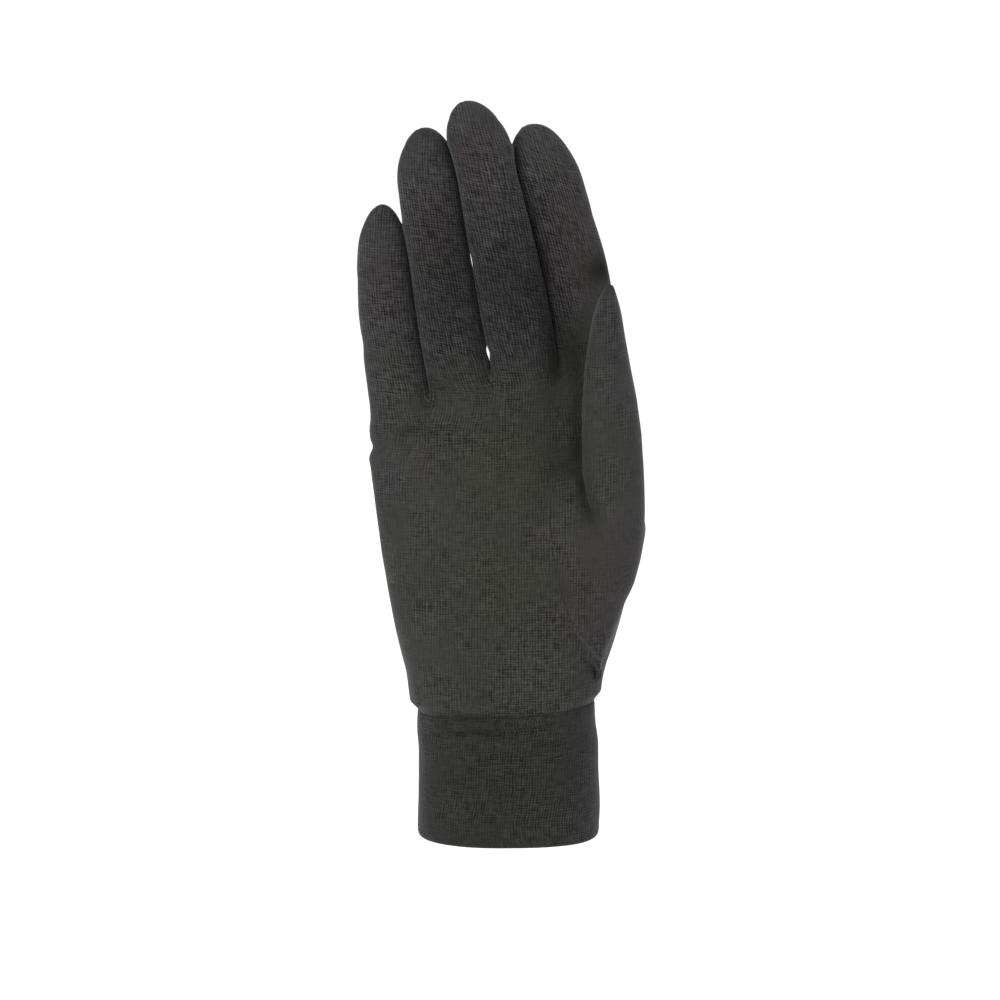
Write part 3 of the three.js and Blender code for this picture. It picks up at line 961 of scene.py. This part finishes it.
def object_of(name, points, triangles, places, node, material):
    mesh = bpy.data.meshes.new(name)
    mesh.from_pydata((points * MM).tolist(), [], triangles.tolist())
    layer = mesh.uv_layers.new(name="knit")
    corners = triangles.ravel()
    layer.uv.foreach_set("vector", places[corners].astype(np.float32).ravel())
    dye_and_shade = mesh.attributes.new("dye_and_shade", "FLOAT_VECTOR", "POINT")
    dye_and_shade.data.foreach_set("vector", casts(*points.T).astype(np.float32).ravel())
    clear = mesh.attributes.new("clear", "FLOAT", "POINT")
    clear.data.foreach_set("value", spots(CLEAR_SPOTS, points[:, 0], points[:, 2]).astype(np.float32))
    mesh.materials.append(material)
    mesh.shade_smooth()
    mesh.set_sharp_from_angle(angle=math.radians(55))
    piece = bpy.data.objects.new(name, mesh)
    bpy.context.scene.collection.objects.link(piece)
    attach(piece, "root")
    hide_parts(node)


def hand_surface():
    """The whole hand's cloth as one surface, with the fingers parted."""
    sizes = np.ceil((SPACE_HIGH - SPACE_LOW) / NET_STEP).astype(int) + 1
    x, y, z = (SPACE_LOW[k] + NET_STEP * np.arange(sizes[k]) for k in range(3))
    bare = hand_field(x[:, None, None], y[None, :, None], z[None, None, :]).astype(np.float32)
    points, quads = surface_net(bare, SPACE_LOW, NET_STEP)
    points = settle(points, cloth_field)
    return points, split_quads(points, quads)


def hand_pieces(jersey):
    """Cuts the hand's surface along its seams into the sewn pieces, and gives each its thickness."""
    rest = hand_surface()
    rest = clip(*rest, rest[0][:, 2] - cuff_seam(rest[0][:, 0]) - SEAM_SLIT / 2)
    names = ["little", "ring", "middle", "index"]
    cuts = {}
    for pair in range(COUNT - 1):
        level = strip_side(pair, *rest[0].T)
        name = f"fourchette_{names[pair]}_{names[pair + 1]}"
        cuts[name] = clip(*rest, level - SEAM_SLIT / 2)
        rest = clip(*rest, -level - SEAM_SLIT / 2)
    level = thumb_side(*rest[0].T)
    cuts["thumb"] = clip(*rest, level - SEAM_SLIT / 2)
    rest = clip(*rest, -level - SEAM_SLIT / 2)
    level = front_side(*rest[0].T)
    cuts["palm_panel"] = clip(*rest, level - SEAM_SLIT / 2)
    cuts["back_panel"] = clip(*rest, -level - SEAM_SLIT / 2)
    for name, surface in cuts.items():
        points, triangles = largest_part(*surface)
        places = thumb_places(*points.T) if name == "thumb" else panel_places(*points.T)
        points, triangles = thicken(points, triangles, CLOTH)
        x, y, z = points.T
        if name != "thumb":
            x = rejoined_x(x, z)
            x = overhung_x(x, y, z)
        points = np.stack([x, y, z], 1)
        object_of(name + "_knit", points, triangles, np.tile(places, (2, 1)), name, jersey)


def cuff_piece(material):
    """The folded wrist band: outside, over the hem, and up inside."""
    around_count = 300
    top = CUFF_HEIGHT - SEAM_SLIT / 2
    crest = 0.22
    width_at = rounded_curve(CUFF["rise"] * top, CUFF["wide"], 1.5)
    shift_at = rounded_curve(CUFF["rise"] * top, CUFF["shift"], 1.5)
    hem = CUFF_WALL / 2
    turn = np.linspace(0, math.pi / 2, 5)[1:-1]
    under = np.linspace(0, math.pi, 7)[1:-1]
    profile = [(z, 0.0) for z in np.linspace(hem, top - crest, 76)]
    profile += [(top - crest + crest * math.sin(a), crest - crest * math.cos(a)) for a in turn]
    profile += [(top, inset) for inset in np.linspace(crest, CUFF_WALL - crest, 3)]
    profile += [(top - crest + crest * math.cos(a), CUFF_WALL - crest + crest * math.sin(a)) for a in turn]
    profile += [(z, CUFF_WALL) for z in np.linspace(top - crest, hem, 30)]
    profile += [(hem - hem * math.sin(a), hem + hem * math.cos(a)) for a in under]
    angle = np.arange(around_count) / around_count * 2 * math.pi
    power = 2 / PALM_SQUARENESS
    across = np.sign(np.cos(angle)) * np.abs(np.cos(angle)) ** power
    deep = np.sign(np.sin(angle)) * np.abs(np.sin(angle)) ** power
    points, places = [], []
    for z, inset in profile:
        wide = float(width_at(z))
        x = across * (wide * CUFF_WIDTH / 2 - inset) + float(shift_at(z)) * CUFF_WIDTH
        y = deep * (wide * CUFF_DEPTH / 2 - inset)
        out = cuff_relief(x, y, z) * (1 if inset < CUFF_WALL / 2 else 0.3)
        x = x + out * np.cos(angle)
        y = y + out * np.sin(angle)
        height = z + smooth(z, 18, top) * (cuff_seam(x) - CUFF_HEIGHT)
        points.append(np.stack([x, y, height], 1))
        run = np.hypot(np.diff(x, append=x[0]), np.diff(y, append=y[0])).cumsum()
        places.append(np.stack([run / WALE, np.full_like(x, z - inset) / COURSE], 1))
    rings = len(profile)
    index = np.arange(rings * around_count).reshape(rings, around_count)
    a, b = index, np.roll(index, -1, 0)
    c, d = np.roll(b, -1, 1), np.roll(a, -1, 1)
    quads = np.stack([a, d, c, b], -1).reshape(-1, 4)
    points = np.concatenate(points)
    triangles = split_quads(points, quads)
    object_of("cuff_knit", points, triangles, np.concatenate(places), "cuff", material)


def cuff_relief(x, y, z):
    """Roll under the seam, wrinkle below it and slack of the band."""
    front = smooth(-y, 4, 12)
    roll = 0.3 * front * bump(z, CUFF_HEIGHT - 2.6, 1.9)
    wrinkle_z = 37.4 + 0.09 * x - cuff_seam(x) + CUFF_HEIGHT
    left = bump(x, -7, 15) * front
    wrinkle = 0.35 * left * bump(z, wrinkle_z - 2.2, 1.3) - 0.85 * left * bump(z, wrinkle_z, 1.0)
    seam = cuff_groove(x, z - CUFF_HEIGHT)
    near_seam = smooth(z, CUFF_HEIGHT - 9, CUFF_HEIGHT - 1)
    gather = 0.09 * near_seam * np.sin(GATHER_PITCH * x + 2 * np.sin(0.4 * x))
    slack = 0.18 * np.sin(0.16 * x + 0.21 * z) * np.sin(0.13 * z - 0.2 * y + 0.8)
    return roll + wrinkle + seam + gather + slack


# Materials

STITCH_DEPTH = 0.16  # of the single stitches, which only the material shows
SHEEN = 0.17


def feed(tree, socket, value):
    """Links an input to another node's output, or gives it a plain value."""
    if isinstance(value, bpy.types.NodeSocket):
        tree.links.new(value, socket)
    else:
        socket.default_value = value


def wire(tree, node, **inputs):
    """Feeds a node's inputs by name, with _ for a space."""
    for name, value in inputs.items():
        feed(tree, node.inputs[name.replace("_", " ")], value)
    return node


def calc(tree, operation, *values, kind="ShaderNodeMath"):
    node = tree.nodes.new(kind)
    node.operation = operation
    for socket, value in zip(node.inputs, values):
        feed(tree, socket, value)
    return node.outputs[0]


def vector(tree, operation, *values):
    return calc(tree, operation, *values, kind="ShaderNodeVectorMath")


def noise(tree, place, scale, detail, roughness=0.5):
    node = tree.nodes.new("ShaderNodeTexNoise")
    return wire(tree, node, Vector=place, Scale=scale, Detail=detail, Roughness=roughness)


def centred(tree, node):
    """A noise's value about zero."""
    return calc(tree, "SUBTRACT", node.outputs["Fac"], 0.5)


def attribute(tree, name):
    node = tree.nodes.new("ShaderNodeAttribute")
    node.attribute_name = name
    return node


def parts_of(tree, value):
    """The numbers of a vector."""
    return wire(tree, tree.nodes.new("ShaderNodeSeparateXYZ"), Vector=value).outputs


def mixed(tree, first, second, share):
    """A colour between two, which are sockets or plain colours."""
    node = tree.nodes.new("ShaderNodeMix")
    node.data_type = "RGBA"
    node.clamp_factor = False
    colour_inputs = (node.inputs[0], node.inputs[6], node.inputs[7])
    for socket, value in zip(colour_inputs, (share, first, second)):
        feed(tree, socket, value)
    return node.outputs[2]


def knit_material(name, dark, mid, olive, warm):
    """Fine jersey: columns of stitches in rows, matt wool with a light nap, uneven dye, painted shade in the
    stitches' grooves and in patches, and a little sheen.
    """
    material = bpy.data.materials.new(name)
    material.use_nodes = True
    tree = material.node_tree
    shader = tree.nodes["Principled BSDF"]
    where = tree.nodes.new("ShaderNodeTexCoord").outputs["Object"]
    places = tree.nodes.new("ShaderNodeUVMap")
    places.uv_map = "knit"

    wobble = noise(tree, where, 260.0, 2.0)
    shaken = vector(tree, "MULTIPLY_ADD", wobble.outputs["Color"], (0.9, 0.9, 0.0), places.outputs["UV"])
    column, row, _ = parts_of(tree, shaken)

    share = calc(tree, "FRACT", column)
    off = calc(tree, "ABSOLUTE", calc(tree, "SUBTRACT", share, 0.5))
    wale = calc(tree, "COSINE", calc(tree, "MULTIPLY", calc(tree, "SUBTRACT", share, 0.5), 2 * math.pi))
    slanted = calc(tree, "ADD", row, calc(tree, "MULTIPLY", off, 0.8))
    course = calc(tree, "COSINE", calc(tree, "MULTIPLY", slanted, 2 * math.pi))
    grid = calc(tree, "MULTIPLY_ADD", wale, 0.25, 0.5)
    grid = calc(tree, "MULTIPLY_ADD", course, 0.2, grid)
    nap = centred(tree, noise(tree, where, 2200.0, 3.0, 0.65))
    upright = centred(tree, noise(tree, vector(tree, "MULTIPLY", shaken, (1.4, 0.2, 0)), 1.0, 0.0))
    level = centred(tree, noise(tree, vector(tree, "MULTIPLY", shaken, (0.2, 1.4, 0)), 1.0, 0.0))
    whole = vector(tree, "FLOOR", vector(tree, "MULTIPLY", shaken, (1, 1, 0)))
    stitch = wire(tree, tree.nodes.new("ShaderNodeTexWhiteNoise"), Vector=whole)
    yarn = calc(tree, "ADD", calc(tree, "MULTIPLY", upright, 1.6), calc(tree, "MULTIPLY", level, 1.6))
    yarn = calc(tree, "MULTIPLY_ADD", calc(tree, "SUBTRACT", stitch.outputs["Value"], 0.5), 0.45, yarn)
    yarn = calc(tree, "MULTIPLY_ADD", nap, 1.1, yarn)

    # the attribute's third share is painted shade and darker or lighter tone
    olive_share, brown_share, shade_and_tone_share = parts_of(tree, attribute(tree, "dye_and_shade").outputs["Vector"])
    clear = attribute(tree, "clear").outputs["Fac"]
    patches = centred(tree, noise(tree, where, 42.0, 3.0))
    greener = calc(tree, "ADD", patches, olive_share)
    browner = calc(tree, "SUBTRACT", brown_share, patches)
    tone = mixed(tree, mixed(tree, (*mid, 1), (*olive, 1), greener), (*warm, 1), browner)
    worn = centred(tree, noise(tree, where, 75.0, 2.0))
    crisp = calc(tree, "MULTIPLY_ADD", worn, 2.8, calc(tree, "MULTIPLY_ADD", clear, 1.5, 0.65))
    crisp = calc(tree, "MAXIMUM", crisp, 0.28)
    blotch = centred(tree, noise(tree, where, 58.0, 2.0))
    height = calc(tree, "MULTIPLY_ADD", yarn, 0.5, grid)
    raised = calc(tree, "MULTIPLY", calc(tree, "SUBTRACT", height, 0.5), crisp)
    # the colour's share: the near-black of the grooves at 0, the tone at 1; partly the knit's pattern, partly
    # painted shade in the grooves
    depth = calc(tree, "ADD", raised, 0.6)
    depth = calc(tree, "MINIMUM", calc(tree, "MAXIMUM", depth, 0.0), 1.6)
    depth = calc(tree, "MULTIPLY", depth, calc(tree, "MULTIPLY_ADD", blotch, 0.5, 1.0))
    # darker, and with less sheen, where the patches paint shade or darker tone
    depth = calc(tree, "MULTIPLY", depth, calc(tree, "SUBTRACT", 1.0, shade_and_tone_share))
    sheen = calc(tree, "MULTIPLY_ADD", shade_and_tone_share, -SHEEN, SHEEN)

    stitches = wire(
        tree, tree.nodes.new("ShaderNodeBump"), Strength=0.8, Distance=STITCH_DEPTH * MM, Height=raised
    )
    wire(
        tree,
        shader,
        Base_Color=mixed(tree, (*dark, 1), tone, depth),
        Normal=stitches.outputs[0],
        Roughness=0.92,
        Specular_IOR_Level=0.15,
        Sheen_Weight=sheen,
        Sheen_Roughness=0.4,
        Sheen_Tint=(0.62, 0.62, 0.64, 1),
    )
    return material


def plain_material(name, colour, roughness):
    material = bpy.data.materials.new(name)
    material.use_nodes = True
    shader = material.node_tree.nodes["Principled BSDF"]
    shader.inputs["Base Color"].default_value = (*colour, 1)
    shader.inputs["Roughness"].default_value = roughness
    return material


# The stage: a pale floor well below the held glove, and soft light from all sides

CAMERA_DISTANCE = 850.0
CAMERA_ELEVATION = math.radians(8.5)
CAMERA_TARGET = Vector((-2.79, 0.0, 106.2))
CAMERA_LENS = 98.7
FLOOR_DROP = 120.0
ROOM_LIGHT = 1.12


def camera():
    data = bpy.data.cameras.new("camera")
    data.lens = CAMERA_LENS
    data.sensor_width = 36.0
    data.clip_end = 100.0
    seen = bpy.data.objects.new("camera", data)
    away = Vector((0, -math.cos(CAMERA_ELEVATION), math.sin(CAMERA_ELEVATION)))
    seen.location = (CAMERA_TARGET + CAMERA_DISTANCE * away) * MM
    seen.rotation_euler = (math.pi / 2 - CAMERA_ELEVATION, 0, 0)
    bpy.context.scene.collection.objects.link(seen)
    bpy.context.scene.camera = seen


def soft_light(name, place, size, power):
    data = bpy.data.lights.new(name, "AREA")
    data.size = size
    data.energy = power
    lamp = bpy.data.objects.new(name, data)
    lamp.location = place
    aim = CAMERA_TARGET * MM - Vector(place)
    lamp.rotation_euler = aim.to_track_quat("-Z", "Y").to_euler()
    bpy.context.scene.collection.objects.link(lamp)


def stage():
    floor_size = 30.0
    mesh = bpy.data.meshes.new("floor")
    half = floor_size / 2
    low = -FLOOR_DROP * MM
    corners = [(-half, -half, low), (half, -half, low), (half, half, low), (-half, half, low)]
    mesh.from_pydata(corners, [], [(0, 1, 2, 3)])
    mesh.materials.append(plain_material("pale_floor", (0.93, 0.93, 0.93), 0.9))
    floor = bpy.data.objects.new("floor", mesh)
    bpy.context.scene.collection.objects.link(floor)
    world = bpy.data.worlds.new("soft_room")
    world.use_nodes = True
    back = world.node_tree.nodes["Background"]
    back.inputs[0].default_value = (1, 1, 1, 1)
    back.inputs[1].default_value = ROOM_LIGHT
    bpy.context.scene.world = world
    bpy.context.scene.view_settings.view_transform = "Standard"
    soft_light("key", (-1.0, -1.2, 0.9), 1.0, 24.0)
    soft_light("fill", (1.1, -1.1, 0.3), 1.0, 9.0)


# each material's first colour is the near-black of the stitches' grooves: partly the knit's pattern, partly
# painted shade
jersey = knit_material(
    "jersey",
    dark=(0.002, 0.002, 0.002),
    mid=(0.031, 0.031, 0.0305),
    olive=(0.030, 0.0305, 0.022),
    warm=(0.034, 0.0255, 0.0265),
)
cuff_knit = knit_material(
    "cuff_knit",
    dark=(0.0015, 0.0015, 0.0015),
    mid=(0.0205, 0.0205, 0.0203),
    olive=(0.019, 0.0195, 0.0143),
    warm=(0.022, 0.0177, 0.0177),
)
camera()
stage()
hand_pieces(jersey)
cuff_piece(cuff_knit)
